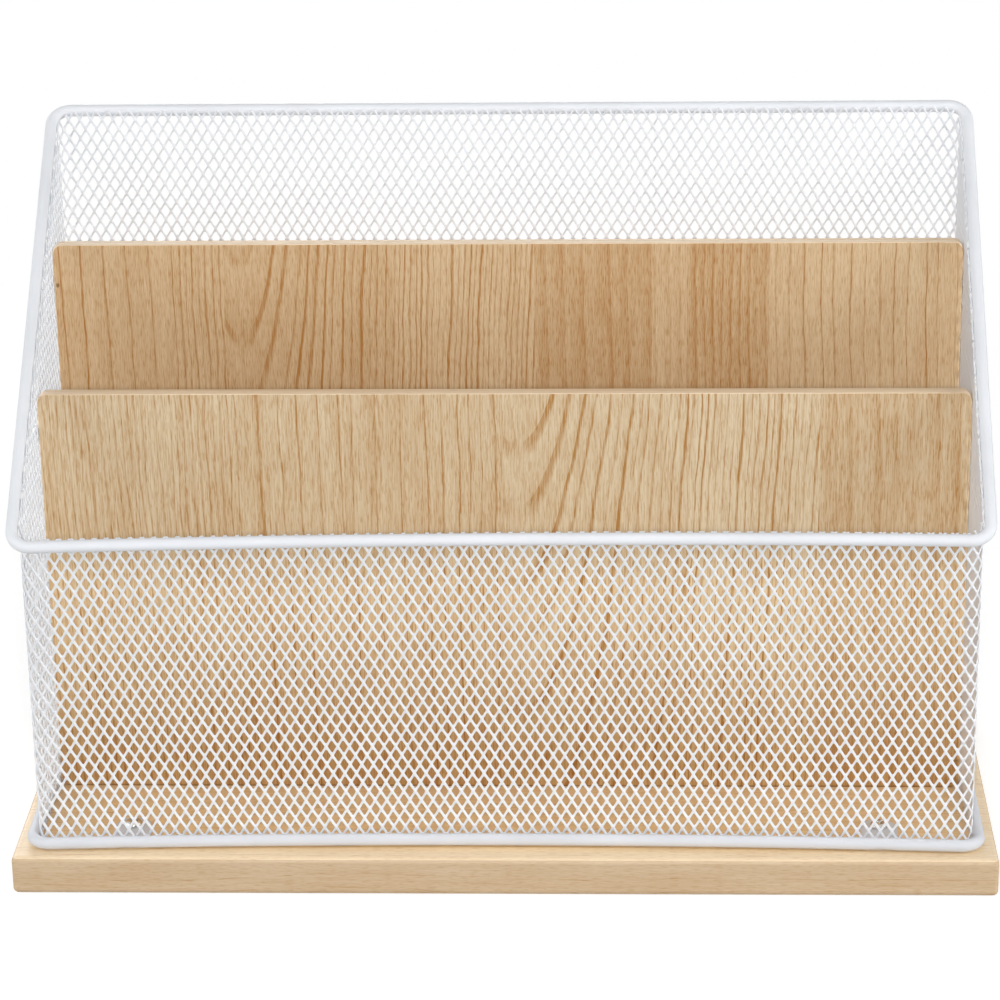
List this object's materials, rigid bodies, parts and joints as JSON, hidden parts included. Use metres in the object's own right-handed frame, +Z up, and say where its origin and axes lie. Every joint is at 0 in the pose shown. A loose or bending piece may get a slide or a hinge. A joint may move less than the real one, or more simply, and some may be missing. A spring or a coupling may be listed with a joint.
{
  "type": "letter sorter",
  "caption": "Desktop letter sorter: a white wire-mesh basket, low in front and tall at the back, on a wooden base board, with wooden dividers that make upright slots for letters.",
  "frame": {"origin": "centre of the base board's underside", "axes": "+X to the right along the board, -Y to the low front, +Z up"},
  "size_m": [0.32, 0.141, 0.229],
  "materials": {
    "wood": "light oak-look laminate, matt",
    "wood_edging": "wood-look edge tape, matt",
    "white_coat": "white powder coat, satin",
    "screw_steel": "bright zinc plate"
  },
  "bodies": {
    "root": {"base_board": "wood", "board_edging": "wood_edging", "front_divider": "wood", "front_divider_edging": "wood_edging", "rear_divider": "wood", "rear_divider_edging": "wood_edging", "front_mesh": "white_coat", "back_mesh": "white_coat", "left_mesh": "white_coat", "right_mesh": "white_coat", "top_rim": "white_coat", "bottom_ring": "white_coat", "front_left_tab": "white_coat", "front_right_tab": "white_coat", "rear_left_tab": "white_coat", "rear_right_tab": "white_coat", "tab_screws": "screw_steel", "divider_screws": "screw_steel"}
  },
  "joints": []
}
